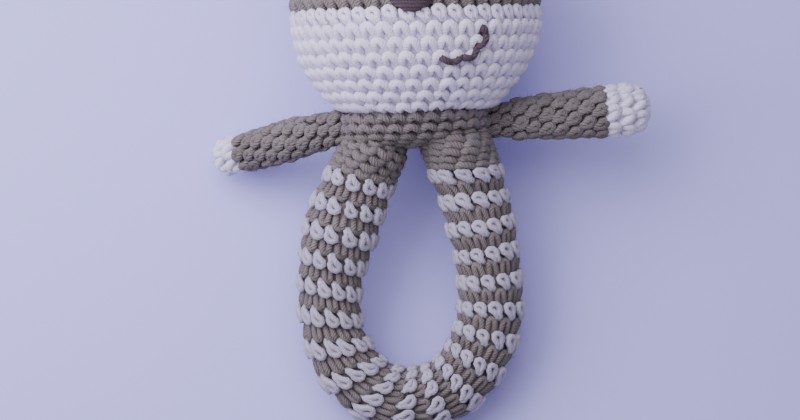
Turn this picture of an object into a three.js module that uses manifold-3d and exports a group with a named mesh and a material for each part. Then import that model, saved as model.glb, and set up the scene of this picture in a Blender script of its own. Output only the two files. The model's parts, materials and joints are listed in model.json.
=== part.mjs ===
// A crocheted teddy rattle lying on its back: a stuffed head with a rattle ball inside, a short body,
// two sewn-on arms and a striped ring handle.
// Millimetres. In the finished frame X runs to the right of someone facing the toy, Y towards the crown
// and Z up from the surface that it lies on. Left and right are the viewer's.
// The toy's own frame has its origin at the centre of the head, Y along the toy and Z out of the face.
import * as THREE from "three";
import { mergeVertices } from "three/addons/utils/BufferGeometryUtils.js";
import Module from "manifold-3d";

const wasm = await Module();
wasm.setup();

// Fits
const GAP = 0.3; // clearance between pieces that touch
const REST_CUT = 0.5; // depth pressed flat where the soft underside lies on the surface

// Crocheted covers
const HEAD_COVER = 3; // fabric thickness on the head and body
const ARM_COVER = 2.2;
const RING_COVER = 3;
const CREAM_ROUND = 1.8; // thickness of a cream round worked over the carried taupe strand

// Head and face
const HEAD_DIAMETER = 70;
const NECK_DIAMETER = 40;
const NOSE_WIDTH = 14;
const NOSE_HEIGHT = 10;
const NOSE_DEPTH = 2.2;
const NOSE_SIDE = -1.1; // the nose sits a little to the left of the middle
const NOSE_RISE = 4.6; // centre of the nose above the colour change
const EYE_DIAMETER = 5;
const EYE_DEPTH = 2;
const EYE_SPACING = 24;
const EYE_RISE = 10;
const SMILE_STRAND = 2; // diameter of the embroidery yarn
const SMILE_START = [6.6, -13.2]; // across and along the face, from the centre of the head
const SMILE_BEND = [17.5, -17.5];
const SMILE_END = [18.3, -4.9];
const EAR_WIDTH = 19;
const EAR_DEPTH = 7;
const EAR_HOLLOW = 2; // depth of the dished front of an ear
const EAR_ANGLE = 38; // degrees from the crown
const EAR_REACH = 2.5; // centre of an ear outside the head

// Rattle ball and its beads
const BALL_DIAMETER = 30;
const BALL_WALL = 1.8;
const BALL_LIP = 2; // height of the snap-together tongue
const BEAD_DIAMETER = 6;
const BEAD_COUNT = 5;
const BEAD_SPACING = 0.8; // between neighbouring beads

// Body
const BODY_LENGTH = 11.5;
const BODY_WIDTH = 43;
const HIP_DEPTH = 21; // front to back where the legs start

// Ring handle
const TUBE_DIAMETER = 20;
const RING_WIDTH = 65.2; // outside
const RING_SHIFT = -1.3; // the ring hangs a little to the left
const LEG_LENGTH = 43; // from the hips to the widest level
const FOOT_LENGTH = 28.2; // from the widest level to the lowest point of the centreline
const HIP_LIFT = 2.5; // the legs start this far above the underside of the body
const LEFT_CROTCH = 1.1; // inner side of each leg at the hip, from the toy's middle
const RIGHT_CROTCH = 2.6;
const ROUND_COUNT = 43; // crocheted rounds along the ring
const HIP_ROUND_COUNT = 2; // plain taupe rounds at each hip
const ROUND_CROWN = 0.45; // how far a round swells at its middle

// Arms: sizes along and across each arm, how far its seam lies below the neck, and how it lies
const SEAM_WIDTH = 7;
const SEAM_THICKNESS = 1.6; // flattened end of the sleeve at the seam
const LEFT_ARM = { length: 40.4, forearm: 13, paw: 12, pawLength: 9, drop: 4.4, rise: -15.4, droop: 28 };
const RIGHT_ARM = { length: 42.3, forearm: 14, paw: 16, pawLength: 14, drop: 1.8, rise: 4.5, droop: 0 };

// Fineness of the facets
const HEAD_SIDES = 28;
const STUFFING_SIDES = 18;
const BALL_SIDES = 18;
const BODY_SIDES = 24;
const ARM_SIDES = 14;
const RING_SIDES = 12;
const CORE_SIDES = 8;
const PAD_SIDES = 14;

// Sizes that follow from those
const HEAD_RADIUS = HEAD_DIAMETER / 2;
const HEAD_INSIDE = HEAD_RADIUS - HEAD_COVER;
const NECK_RADIUS = NECK_DIAMETER / 2;
const NECK_LEVEL = -Math.sqrt(HEAD_RADIUS ** 2 - NECK_RADIUS ** 2);
const BODY_TOP = NECK_LEVEL - GAP;
const TUBE_RADIUS = TUBE_DIAMETER / 2;
const HIP_LEVEL = BODY_TOP - BODY_LENGTH + HIP_LIFT;
const WIDEST_LEVEL = HIP_LEVEL - LEG_LENGTH;
const RING_DROP = FOOT_LENGTH - WIDEST_LEVEL; // head centre to the lowest point of the centreline
const TILT = Math.asin((HEAD_RADIUS - TUBE_RADIUS) / RING_DROP); // head and ring both touch the surface

const TAUPE = yarn("taupe_yarn", 0x857a74);
const CREAM = yarn("cream_yarn", 0xd8d2cf);
const BROWN = yarn("brown_yarn", 0x4b3b42);
const STUFFING = yarn("fibre_stuffing", 0xf1efec);
const BALL_PLASTIC = new THREE.MeshStandardMaterial({ name: "ball_plastic", color: 0xe9e7e2, roughness: 0.4 });
const BEAD_PLASTIC = new THREE.MeshStandardMaterial({ name: "bead_plastic", color: 0xc8a06a, roughness: 0.5 });

function yarn(name, color) {
  return new THREE.MeshStandardMaterial({ name, color, roughness: 0.95, metalness: 0 });
}

function radians(degrees) {
  return THREE.MathUtils.degToRad(degrees);
}

// Solids

// A closed surface through rings of equally many points. An open row of rings gets a fan at each end,
// and a closed one joins its last ring to its first.
function loft(rings, closed = false) {
  const sides = rings[0].length;
  const points = rings.flat();
  const index = [];
  const at = (ring, side) => (ring % rings.length) * sides + (side % sides);
  const spans = closed ? rings.length : rings.length - 1;
  for (let ring = 0; ring < spans; ring++) {
    for (let side = 0; side < sides; side++) {
      const a = at(ring, side);
      const b = at(ring, side + 1);
      const c = at(ring + 1, side + 1);
      const d = at(ring + 1, side);
      index.push(a, b, c, a, c, d);
    }
  }
  if (!closed) {
    const first = points.push(middle(rings[0])) - 1;
    const last = points.push(middle(rings.at(-1))) - 1;
    for (let side = 0; side < sides; side++) {
      index.push(first, at(0, side + 1), at(0, side));
      index.push(last, at(rings.length - 1, side), at(rings.length - 1, side + 1));
    }
  }
  return new THREE.BufferGeometry().setFromPoints(points).setIndex(index);
}

function middle(ring) {
  return ring.reduce((sum, point) => sum.add(point), new THREE.Vector3()).divideScalar(ring.length);
}

// An ellipse of points about a centre, in the plane of two directions.
function ellipse(centre, across, halfAcross, along, halfAlong, sides) {
  return Array.from({ length: sides }, (_, side) => {
    const turn = (2 * Math.PI * side) / sides;
    return centre
      .clone()
      .addScaledVector(across, halfAcross * Math.cos(turn))
      .addScaledVector(along, halfAlong * Math.sin(turn));
  });
}

function toSolid(geometry) {
  const bare = geometry.clone();
  bare.deleteAttribute("normal");
  bare.deleteAttribute("uv");
  const merged = mergeVertices(bare, 1e-4);
  return new wasm.Manifold(
    new wasm.Mesh({
      numProp: 3,
      vertProperties: merged.attributes.position.array,
      triVerts: new Uint32Array(merged.index.array),
    }),
  );
}

function toGeometry(solid) {
  const mesh = solid.getMesh();
  return new THREE.BufferGeometry()
    .setAttribute("position", new THREE.BufferAttribute(mesh.vertProperties, 3))
    .setIndex(new THREE.BufferAttribute(mesh.triVerts, 1));
}

function cut(geometry, ...cutters) {
  return toGeometry(cutters.reduce((solid, cutter) => solid.subtract(toSolid(cutter)), toSolid(geometry)));
}

// Points of an arc about the head's centre in the half plane of a lathe, between two heights.
function arc(radius, fromHeight, toHeight, steps) {
  const from = Math.asin(fromHeight / radius);
  const to = Math.asin(toHeight / radius);
  return Array.from({ length: steps + 1 }, (_, step) => {
    const angle = from + ((to - from) * step) / steps;
    return new THREE.Vector2(Math.max(0, radius * Math.cos(angle)), radius * Math.sin(angle));
  });
}

function ball(radius, centre = new THREE.Vector3(), scale = new THREE.Vector3(1, 1, 1), sides = HEAD_SIDES) {
  const sphere = new THREE.SphereGeometry(radius, sides, sides / 2);
  return sphere.scale(scale.x, scale.y, scale.z).translate(...centre);
}

// The surface that the toy lies on, as a block in the toy's frame, for pressing the underside flat.
function floorBlock() {
  const side = 4 * RING_DROP;
  const lift = new THREE.Matrix4().makeTranslation(0, 0, HEAD_RADIUS - REST_CUT);
  const lying = lift.multiply(new THREE.Matrix4().makeRotationX(TILT));
  return new THREE.BoxGeometry(side, side, side).translate(0, 0, -side / 2).applyMatrix4(lying.invert());
}

// Head

function crownCover() {
  const rim = GAP / 2;
  const profile = [
    ...arc(HEAD_INSIDE, rim, HEAD_INSIDE, 7).reverse(),
    ...arc(HEAD_RADIUS, rim, HEAD_RADIUS, 9),
  ];
  return new THREE.LatheGeometry(profile, HEAD_SIDES);
}

function muzzleCover() {
  const rim = -GAP / 2;
  const profile = [
    ...arc(HEAD_RADIUS, NECK_LEVEL, rim, 8),
    ...arc(HEAD_INSIDE, rim, NECK_LEVEL, 6),
  ];
  profile.push(profile[0].clone());
  return cut(new THREE.LatheGeometry(profile, HEAD_SIDES), floorBlock());
}

// Upper and lower wads of fibre, each with a socket for half of the rattle ball.
function headStuffing(upper) {
  const outside = HEAD_INSIDE - GAP;
  const socket = BALL_DIAMETER / 2 + GAP;
  const rim = GAP / 2;
  if (upper) {
    const profile = [...arc(socket, rim, socket, 5).reverse(), ...arc(outside, rim, outside, 6)];
    return new THREE.LatheGeometry(profile, STUFFING_SIDES);
  }
  const profile = [
    new THREE.Vector2(0, NECK_LEVEL),
    ...arc(outside, NECK_LEVEL, -rim, 6),
    ...arc(socket, -rim, -socket, 5),
  ];
  return new THREE.LatheGeometry(profile, STUFFING_SIDES);
}

// A point on the head's surface straight in front of a place on the face, raised by a height.
function onFace(across, along, raised = 0) {
  const out = Math.sqrt(HEAD_RADIUS ** 2 - across ** 2 - along ** 2);
  return new THREE.Vector3(across, along, out).setLength(HEAD_RADIUS + raised);
}

// A flattened pad that lies on the face, cut to the curve of the head.
function facePad(across, along, width, height, depth) {
  const scale = new THREE.Vector3(width / 2, height / 2, depth);
  const pad = ball(1, new THREE.Vector3(), scale, PAD_SIDES);
  const place = onFace(across, along, GAP);
  const front = new THREE.Vector3(0, 0, 1);
  const facing = new THREE.Quaternion().setFromUnitVectors(front, place.clone().normalize());
  pad.applyQuaternion(facing).translate(...place);
  return cut(pad, ball(HEAD_RADIUS + GAP));
}

// One embroidered strand that bends round from under the nose to the cheek.
function smileStrand() {
  const lie = GAP + SMILE_STRAND / 2;
  const flat = new THREE.QuadraticBezierCurve(
    new THREE.Vector2(...SMILE_START),
    new THREE.Vector2(...SMILE_BEND),
    new THREE.Vector2(...SMILE_END),
  );
  const path = new THREE.CatmullRomCurve3(flat.getSpacedPoints(10).map((p) => onFace(p.x, p.y, lie)));
  const section = new THREE.Shape(ellipse2(SMILE_STRAND / 2, 8));
  return new THREE.ExtrudeGeometry(section, { steps: 12, bevelEnabled: false, extrudePath: path });
}

function ellipse2(radius, sides) {
  return Array.from({ length: sides }, (_, side) => {
    const turn = (2 * Math.PI * side) / sides;
    return new THREE.Vector2(radius * Math.cos(turn), radius * Math.sin(turn));
  });
}

// A round flap with a dished front, sewn to the crown along the curve of the head.
function ear(side) {
  const lean = radians(EAR_ANGLE);
  const centre = new THREE.Vector3(side * Math.sin(lean), Math.cos(lean), 0).setLength(HEAD_RADIUS + EAR_REACH);
  const flap = new THREE.Vector3(1, 1, EAR_DEPTH / EAR_WIDTH);
  const dishCentre = centre.clone().add(new THREE.Vector3(0, 0, EAR_DEPTH / 2));
  const dish = new THREE.Vector3(0.7, 0.7, (2 * EAR_HOLLOW) / EAR_WIDTH);
  const head = ball(HEAD_RADIUS + GAP);
  return cut(ball(EAR_WIDTH / 2, centre, flap, 16), ball(EAR_WIDTH / 2, dishCentre, dish, PAD_SIDES), head);
}

// Rattle ball: a cup with a thin tongue inside its rim and a lid that closes over the tongue.
const BALL_RADIUS = BALL_DIAMETER / 2;
const BALL_INSIDE = BALL_RADIUS - BALL_WALL;
const TONGUE_OUTSIDE = BALL_INSIDE + (BALL_WALL - GAP) / 2;

function ballCup() {
  const profile = [
    ...arc(BALL_RADIUS, -BALL_RADIUS, 0, 7),
    new THREE.Vector2(TONGUE_OUTSIDE, 0),
    new THREE.Vector2(TONGUE_OUTSIDE, BALL_LIP),
    ...arc(BALL_INSIDE, BALL_LIP, -BALL_INSIDE, 7),
  ];
  return new THREE.LatheGeometry(profile, BALL_SIDES);
}

function ballLid() {
  const groove = TONGUE_OUTSIDE + GAP;
  const profile = [
    ...arc(BALL_INSIDE, BALL_LIP + GAP, BALL_INSIDE, 6).reverse(),
    new THREE.Vector2(groove, BALL_LIP + GAP),
    new THREE.Vector2(groove, GAP),
    ...arc(BALL_RADIUS, GAP, BALL_RADIUS, 7),
  ];
  return new THREE.LatheGeometry(profile, BALL_SIDES);
}

// Beads lie at the bottom of the ball, one in the middle and the rest round it. Down is the surface's
// direction in the toy's frame, and each bead can travel straight up to the top of the ball.
function beadPlaces() {
  const down = new THREE.Vector3(0, -Math.sin(TILT), -Math.cos(TILT));
  const up = down.clone().negate();
  const right = new THREE.Vector3(1, 0, 0);
  const along = new THREE.Vector3().crossVectors(up, right);
  const room = BALL_INSIDE * Math.cos(Math.PI / BALL_SIDES) - BEAD_DIAMETER / 2 - GAP;
  const ringCount = BEAD_COUNT - 1;
  const step = BEAD_DIAMETER + BEAD_SPACING;
  return Array.from({ length: BEAD_COUNT }, (_, bead) => {
    const out = bead === 0 ? 0 : step / Math.min(1, 2 * Math.sin(Math.PI / ringCount));
    const turn = (2 * Math.PI * bead) / ringCount;
    const depth = Math.sqrt(room ** 2 - out ** 2);
    return new THREE.Vector3()
      .addScaledVector(right, out * Math.cos(turn))
      .addScaledVector(along, out * Math.sin(turn))
      .addScaledVector(down, depth);
  });
}

// Body

// Half the width and depth of the body at a share of its length below the neck. It widens to the hips,
// flattens front to back towards the legs and rounds in underneath.
function bodyHalves(share) {
  const fullness = Math.sqrt(1 - Math.min(1, share) ** 6);
  const widen = Math.sin(Math.min(1, 2 * share) * (Math.PI / 2));
  return {
    width: fullness * (NECK_RADIUS + (BODY_WIDTH / 2 - NECK_RADIUS) * widen),
    depth: fullness * (NECK_RADIUS + (HIP_DEPTH / 2 - NECK_RADIUS) * share),
  };
}

function bodyHalfWidth(level) {
  return bodyHalves(Math.max(0, BODY_TOP - level) / BODY_LENGTH).width;
}

// Rings down the body from the neck, all of them set in or out by an offset.
function bodyRings(offset) {
  const shares = [0, 0.2, 0.4, 0.6, 0.75, 0.87, 0.95, 0.985];
  const across = new THREE.Vector3(1, 0, 0);
  const forward = new THREE.Vector3(0, 0, 1);
  return shares.map((share) => {
    const { width, depth } = bodyHalves(share);
    const centre = new THREE.Vector3(0, BODY_TOP - share * (BODY_LENGTH + offset), 0);
    return ellipse(centre, forward, depth + offset, across, width + offset, BODY_SIDES);
  });
}

function bodyCover() {
  return loft([...bodyRings(0).reverse(), ...bodyRings(-HEAD_COVER)]);
}

function bodyStuffing() {
  return loft(bodyRings(-HEAD_COVER - GAP).reverse());
}

// Ring handle

// Centreline in the toy's plane: down the left leg, round the foot and up the right leg. Each leg follows
// a quarter of a cosine from hip to widest level, and the foot is half an ellipse.
class HandleLine extends THREE.Curve {
  getPoint(t, target = new THREE.Vector3()) {
    const half = RING_WIDTH / 2 - TUBE_RADIUS;
    const span = Math.min(2, Math.floor(3 * t));
    const share = 3 * t - span;
    if (span === 1) {
      const turn = Math.PI * (1 + share);
      return target.set(RING_SHIFT + half * Math.cos(turn), WIDEST_LEVEL + FOOT_LENGTH * Math.sin(turn), 0);
    }
    const side = span === 0 ? -1 : 1;
    const crotch = side < 0 ? LEFT_CROTCH : RIGHT_CROTCH;
    const hip = TUBE_RADIUS + crotch - side * RING_SHIFT;
    const up = span === 0 ? 1 - share : share;
    const out = half - (half - hip) * (1 - Math.cos((Math.PI / 2) * up));
    return target.set(RING_SHIFT + side * out, WIDEST_LEVEL + LEG_LENGTH * up, 0);
  }
}

const HANDLE = new HandleLine();
HANDLE.arcLengthDivisions = 600;
const HANDLE_LENGTH = HANDLE.getLength();
const ROUND_HEIGHT = HANDLE_LENGTH / ROUND_COUNT;
const BORE_RADIUS = TUBE_RADIUS - RING_COVER;
const GROOVE_RADIUS = TUBE_RADIUS - CREAM_ROUND - GAP;

// A ring of points about the centreline, at a length along it.
function handleRing(length, radius, sides = RING_SIDES) {
  const share = THREE.MathUtils.clamp(length / HANDLE_LENGTH, 0, 1);
  const tangent = HANDLE.getTangentAt(share);
  const inward = new THREE.Vector3(-tangent.y, tangent.x, 0);
  return ellipse(HANDLE.getPointAt(share), inward, radius, new THREE.Vector3(0, 0, 1), radius, sides);
}

function isCream(round) {
  const plain = round < HIP_ROUND_COUNT || round >= ROUND_COUNT - HIP_ROUND_COUNT;
  return !plain && (round - HIP_ROUND_COUNT) % 2 === 0;
}

// The taupe tube: its own rounds stand full and the cream rounds lie in grooves between them.
function taupeTube() {
  const outside = [];
  for (let round = 0; round < ROUND_COUNT; round++) {
    const start = round * ROUND_HEIGHT;
    const end = start + ROUND_HEIGHT;
    if (isCream(round)) {
      outside.push(handleRing(start, GROOVE_RADIUS), handleRing(end, GROOVE_RADIUS));
    } else {
      outside.push(handleRing(start, TUBE_RADIUS - ROUND_CROWN));
      outside.push(handleRing((start + end) / 2, TUBE_RADIUS));
      outside.push(handleRing(end, TUBE_RADIUS - ROUND_CROWN));
    }
  }
  const tube = loft([...distinct(outside), ...boreRings(BORE_RADIUS, RING_SIDES).reverse()], true);
  return cut(tube, loft(bodyRings(GAP).reverse()), floorBlock());
}

// Rings along the whole bore, one for every second round.
function boreRings(radius, sides) {
  const starts = Array.from({ length: ROUND_COUNT }, (_, round) => round).filter((round) => round % 2 === 0);
  return [...starts, ROUND_COUNT].map((round) => handleRing(round * ROUND_HEIGHT, radius, sides));
}

// Drops a ring that repeats the one before it, as where two taupe rounds meet.
function distinct(rings) {
  return rings.filter((ring, n) => n === 0 || ring[0].distanceTo(rings[n - 1][0]) > 1e-6);
}

function creamRound(round) {
  const start = round * ROUND_HEIGHT + GAP;
  const end = (round + 1) * ROUND_HEIGHT - GAP;
  const inside = GROOVE_RADIUS + GAP;
  const edge = TUBE_RADIUS - ROUND_CROWN;
  const rings = [
    handleRing(start, inside),
    handleRing(start, edge),
    handleRing((start + end) / 2, TUBE_RADIUS),
    handleRing(end, edge),
    handleRing(end, inside),
  ];
  return cut(loft(rings, true), floorBlock());
}

function ringStuffing() {
  const radius = BORE_RADIUS * Math.cos(Math.PI / RING_SIDES) - GAP;
  return cut(loft(boreRings(radius, CORE_SIDES)), loft(bodyRings(GAP).reverse()));
}

// How far the outer side of a leg, between its rounds, stands from the toy's middle at a level. It is 0 at
// levels above the leg.
function legHalfWidth(side, level) {
  const outerPoint = (length) => {
    const share = length / HANDLE_LENGTH;
    const tangent = HANDLE.getTangentAt(share);
    const outward = new THREE.Vector3(tangent.y, -tangent.x, 0);
    return HANDLE.getPointAt(share).addScaledVector(outward, TUBE_RADIUS - ROUND_CROWN);
  };
  const points = Array.from({ length: 80 }, (_, step) => {
    const down = (step * ROUND_HEIGHT) / 8;
    return outerPoint(side < 0 ? down : HANDLE_LENGTH - down);
  });
  const beside = points[0].y < level ? null : points.find((point) => point.y <= level);
  return beside ? Math.abs(beside.x) : 0;
}

// Arms

// Half the height along the seam and half the depth of an arm, at a distance out from the seam, all set in
// by a wall. The flattened seam end swells into a round forearm and the paw closes in a dome.
function armHalves(arm, out, wall) {
  const seam = SEAM_THICKNESS / 2;
  const colourChange = arm.length - arm.pawLength;
  const swell = Math.sin((Math.PI / 2) * Math.min(1, Math.max(0, out) / (0.6 * colourChange)));
  const toPaw = THREE.MathUtils.smoothstep(out, 0.5 * colourChange, arm.length - arm.paw / 2);
  const round = arm.forearm / 2 + (arm.paw / 2 - arm.forearm / 2) * toPaw;
  const dome = Math.max(0, out - (arm.length - arm.paw / 2)) / (arm.paw / 2);
  const close = Math.sqrt(Math.max(0, 1 - dome ** 2));
  return {
    height: close * (SEAM_WIDTH / 2 + (round - SEAM_WIDTH / 2) * swell) - wall,
    depth: close * (seam + (round - seam) * swell) - wall,
  };
}

function armRings(arm, from, to, steps, wall) {
  const along = new THREE.Vector3(0, 1, 0);
  const forward = new THREE.Vector3(0, 0, 1);
  return Array.from({ length: steps + 1 }, (_, step) => {
    const out = from + ((to - from) * step) / steps;
    const { height, depth } = armHalves(arm, out, wall);
    return ellipse(new THREE.Vector3(out, 0, 0), along, height, forward, depth, ARM_SIDES);
  });
}

// Rings over the paw's dome, closer together towards its tip.
function pawRings(arm, from, wall) {
  const reach = arm.length - wall - from;
  const shares = [0, 0.3, 0.55, 0.75, 0.9, 0.97];
  const along = new THREE.Vector3(0, 1, 0);
  const forward = new THREE.Vector3(0, 0, 1);
  return shares.map((share) => {
    const out = from + reach * share;
    const { height, depth } = armHalves(arm, out + wall * share, 0);
    const inset = wall * (1 - share);
    return ellipse(new THREE.Vector3(out, 0, 0), along, height - inset, forward, depth - inset, ARM_SIDES);
  });
}

// The seam's rounded edge, so that the arm can swing about it close to the body.
function seamRing() {
  const seam = SEAM_THICKNESS / 2;
  const edge = new THREE.Vector3(-0.8 * seam, 0, 0);
  const along = new THREE.Vector3(0, 1, 0);
  const forward = new THREE.Vector3(0, 0, 1);
  return ellipse(edge, along, SEAM_WIDTH / 2, forward, 0.5 * seam, ARM_SIDES);
}

// Where the sleeve is deep enough to be hollow.
function hollowStart(arm) {
  let out = 0;
  while (armHalves(arm, out, ARM_COVER).depth < ARM_COVER / 2) out += ARM_COVER / 10;
  return out;
}

function armSleeve(arm) {
  const end = arm.length - arm.pawLength - GAP / 2;
  const outside = [seamRing(), ...armRings(arm, 0, end, 8, 0)];
  const inside = armRings(arm, hollowStart(arm), end, 5, ARM_COVER).reverse();
  return loft([...outside, ...inside]);
}

function armPaw(arm) {
  const start = arm.length - arm.pawLength + GAP / 2;
  return loft([...pawRings(arm, start, ARM_COVER).reverse(), ...pawRings(arm, start, 0)]);
}

function armStuffing(arm) {
  const wall = ARM_COVER + GAP;
  const start = arm.length - arm.pawLength;
  const sleeve = armRings(arm, hollowStart(arm) + GAP, start, 5, wall);
  return loft([...sleeve, ...pawRings(arm, start, wall).slice(1)]);
}

// The seam's centre, as near the chin, the body's side and the leg as the seam's edge can turn.
function shoulderPlace(arm, side) {
  const level = NECK_LEVEL - arm.drop;
  const rise = radians(arm.rise);
  const clear = GAP + SEAM_THICKNESS / 2;
  const outs = [-1, 1].map((end) => {
    const endLevel = level + (end * SEAM_WIDTH * Math.cos(rise)) / 2;
    const nearer = (end * SEAM_WIDTH * Math.sin(rise)) / 2;
    const chin = Math.sqrt(Math.max(0, (HEAD_RADIUS + clear) ** 2 - endLevel ** 2));
    const body = endLevel > BODY_TOP ? 0 : bodyHalfWidth(endLevel) + clear;
    const leg = legHalfWidth(side, endLevel) + clear;
    return Math.max(chin, body, leg) + nearer;
  });
  return new THREE.Vector3(side * Math.max(...outs), level, 0);
}

// A group at the shoulder with X out along the arm, Y along the seam and Z towards the front.
function shoulder(name, arm, side) {
  const group = new THREE.Group();
  group.position.copy(shoulderPlace(arm, side));
  group.rotation.z = side > 0 ? radians(arm.rise) : Math.PI - radians(arm.rise);
  const limb = new THREE.Group();
  limb.rotation.y = radians(arm.droop);
  limb.add(
    piece(name + "_arm_sleeve", armSleeve(arm), TAUPE),
    piece(name + "_paw", armPaw(arm), CREAM),
    piece(name + "_arm_stuffing", armStuffing(arm), STUFFING),
  );
  return group.add(limb);
}

// The whole toy

function piece(name, geometry, material) {
  const mesh = new THREE.Mesh(geometry, material);
  mesh.name = name;
  return mesh;
}

function head() {
  const group = new THREE.Group();
  group.add(
    piece("head_crown", crownCover(), TAUPE),
    piece("head_muzzle", muzzleCover(), CREAM),
    piece("crown_stuffing", headStuffing(true), STUFFING),
    piece("muzzle_stuffing", headStuffing(false), STUFFING),
    piece("nose", facePad(NOSE_SIDE, NOSE_RISE, NOSE_WIDTH, NOSE_HEIGHT, NOSE_DEPTH), BROWN),
    piece("smile", smileStrand(), BROWN),
  );
  for (const [name, side] of [["left", -1], ["right", 1]]) {
    const across = NOSE_SIDE + (side * EYE_SPACING) / 2;
    group.add(piece(name + "_eye", facePad(across, EYE_RISE, EYE_DIAMETER, EYE_DIAMETER, EYE_DEPTH), BROWN));
    group.add(piece(name + "_ear", ear(side), TAUPE));
  }
  return group;
}

function rattleBall() {
  const group = new THREE.Group();
  group.add(piece("rattle_cup", ballCup(), BALL_PLASTIC), piece("rattle_lid", ballLid(), BALL_PLASTIC));
  beadPlaces().forEach((place, bead) => {
    const mesh = piece("bead_" + (bead + 1), new THREE.SphereGeometry(BEAD_DIAMETER / 2, 10, 7), BEAD_PLASTIC);
    mesh.position.copy(place);
    group.add(mesh);
  });
  return group;
}

function ringHandle() {
  const group = new THREE.Group();
  group.add(piece("ring_tube", taupeTube(), TAUPE), piece("ring_stuffing", ringStuffing(), STUFFING));
  const creams = Array.from({ length: ROUND_COUNT }, (_, round) => round).filter(isCream);
  creams.forEach((round, n) => {
    group.add(piece("cream_round_" + String(n + 1).padStart(2, "0"), creamRound(round), CREAM));
  });
  return group;
}

const toy = new THREE.Group();
toy.add(head(), rattleBall(), ringHandle());
toy.add(piece("body_cover", bodyCover(), TAUPE), piece("body_stuffing", bodyStuffing(), STUFFING));
toy.add(shoulder("left", LEFT_ARM, -1), shoulder("right", RIGHT_ARM, 1));

// The toy lies on the back of its head and on its ring, centred over the origin.
toy.rotation.x = TILT;
toy.position.z = HEAD_RADIUS - REST_CUT;
const extent = new THREE.Box3().setFromObject(toy, true);
const middlePoint = extent.getCenter(new THREE.Vector3());
toy.position.x -= middlePoint.x;
toy.position.y -= middlePoint.y;

const rattle = new THREE.Group();
rattle.add(toy);
export default rattle;
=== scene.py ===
"""A crocheted teddy rattle lying on its back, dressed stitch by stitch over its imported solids.

Shapes are worked out in millimetres in the toy's own frame: the origin is the centre of the head, X runs to
the right of someone facing the toy, Y towards the crown and Z out of the face. They are turned into the
frame's metres when a mesh is made. Left and right are the viewer's.

Every cover is crocheted in rounds. A surface function gives a point for a turn round the piece (0 to 1) and a
place along it counted in rounds, and each stitch is one loop of yarn laid over that surface.
"""

import json
import math

import bpy
import numpy as np
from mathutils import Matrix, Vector


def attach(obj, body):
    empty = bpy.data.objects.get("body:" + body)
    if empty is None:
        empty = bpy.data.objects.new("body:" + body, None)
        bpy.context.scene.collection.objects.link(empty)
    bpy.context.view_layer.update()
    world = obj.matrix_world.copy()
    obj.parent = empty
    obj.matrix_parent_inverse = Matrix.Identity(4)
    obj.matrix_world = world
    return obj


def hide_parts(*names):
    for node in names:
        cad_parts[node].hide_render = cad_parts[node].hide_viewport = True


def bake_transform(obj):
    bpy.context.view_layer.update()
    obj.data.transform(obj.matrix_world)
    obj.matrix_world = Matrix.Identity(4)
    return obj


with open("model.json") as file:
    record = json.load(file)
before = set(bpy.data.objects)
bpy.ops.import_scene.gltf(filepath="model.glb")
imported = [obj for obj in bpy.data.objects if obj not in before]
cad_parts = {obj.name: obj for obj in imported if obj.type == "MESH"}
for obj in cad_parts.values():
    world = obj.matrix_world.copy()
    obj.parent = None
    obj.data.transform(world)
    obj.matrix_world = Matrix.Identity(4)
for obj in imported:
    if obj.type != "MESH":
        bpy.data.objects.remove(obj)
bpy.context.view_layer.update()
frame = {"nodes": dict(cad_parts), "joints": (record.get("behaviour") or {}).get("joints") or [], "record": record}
random = np.random.default_rng(7)

# Yarn
YARN_RADIUS = 1.2  # of a strand as it lies on average
YARN_SIDES = 5  # faces round a strand
YARN_PLIES = 5
PLY_SPACING = 0.8  # from ply to ply along the strand
PLY_START = 40.0  # each strand starts its plies up to this far along
FIBRES_PER_STITCH = 14
FIBRE_LENGTH = 1.3
FIBRE_RANGE = (0.5, 1.3)  # shortest and longest, as shares of that length
FIBRE_RADIUS = 0.032
FIBRE_TAPER = 0.8  # radius half way along a fibre, as a share
FIBRE_BEND = 0.5  # sideways at its tip, as a share of its length
FIBRE_ROOT = 0.9  # where its root lies in the strand, as a share of the strand's radius
FIBRE_SHADE = 1.0  # a little lighter than an average stitch

# Stitches, with lengths along a piece in rounds, across it in stitch widths and out of it in millimetres
STITCH_WIDTH = 4.35
LOOP_STEPS = 12  # points along the strand of a loop
COUNT_STEPS = 97  # points round a round while its stitches are counted
ROUND_DRIFT = -0.25  # each round starts this many stitches along from the one before
ACROSS_UNEVEN = 0.035  # how uneven the places of stitches are across
ALONG_UNEVEN = 0.03  # and along
SIZE_UNEVEN = 0.04  # how uneven their sizes are, as a share
HEIGHT_UNEVEN = 0.1
CROWDED_SHARES = (0.45, 1.05)  # strands thin with the spacing of stitches, between these shares of the width
CROWDED_POWER = 0.7  # and by this power of it
CLOSE_RADIUS = 1.3  # of a strand pressed flat in a close round
MUZZLE_RADIUS = 1.42  # of the fuller strands of the muzzle and paws
ARCH_SPREAD = 0.46  # half the width of an arch at its feet
ARCH_ROOT = 0.75  # its legs part by this power of the way along the strand
ARCH_LEAN = 0.15  # sideways for each round
ARCH_APEX = 0.05  # how far its top reaches into the round before
ARCH_REACH = 0.97  # from its top to its feet
ARCH_POWER = 1.6  # its legs run down by this power of the way along the strand
ARCH_TOP = 0.2  # how far its top stands out
ARCH_RISE = 0.3  # how far its sides stand out
ARCH_TUCK = 0.9  # how deep its feet go
ARCH_THIN = 0.12  # how much thinner its feet are, as a share
RIDGE_SPREAD = 0.5
RIDGE_ROOT = 0.9
RIDGE_REACH = 0.72
BAR_RADIUS = 1.0  # of the strand in a taupe round between two cream ones
BAR_SPREAD = 0.26
BAR_ROOT = 0.25
BAR_LEAN = 0.12
BAR_APEX = 0.16
BAR_SHIFT = 0.14  # sideways, to lie between the necks of the cream stitches
EYE_RADIUS = 1.04  # of a strand in a loop with an eye
EYE_HALF = 0.29  # half the width of an eye
EYE_APEX = 0.14  # how far its top reaches into the round before
EYE_HEIGHT = 0.58  # length of the eye
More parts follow.
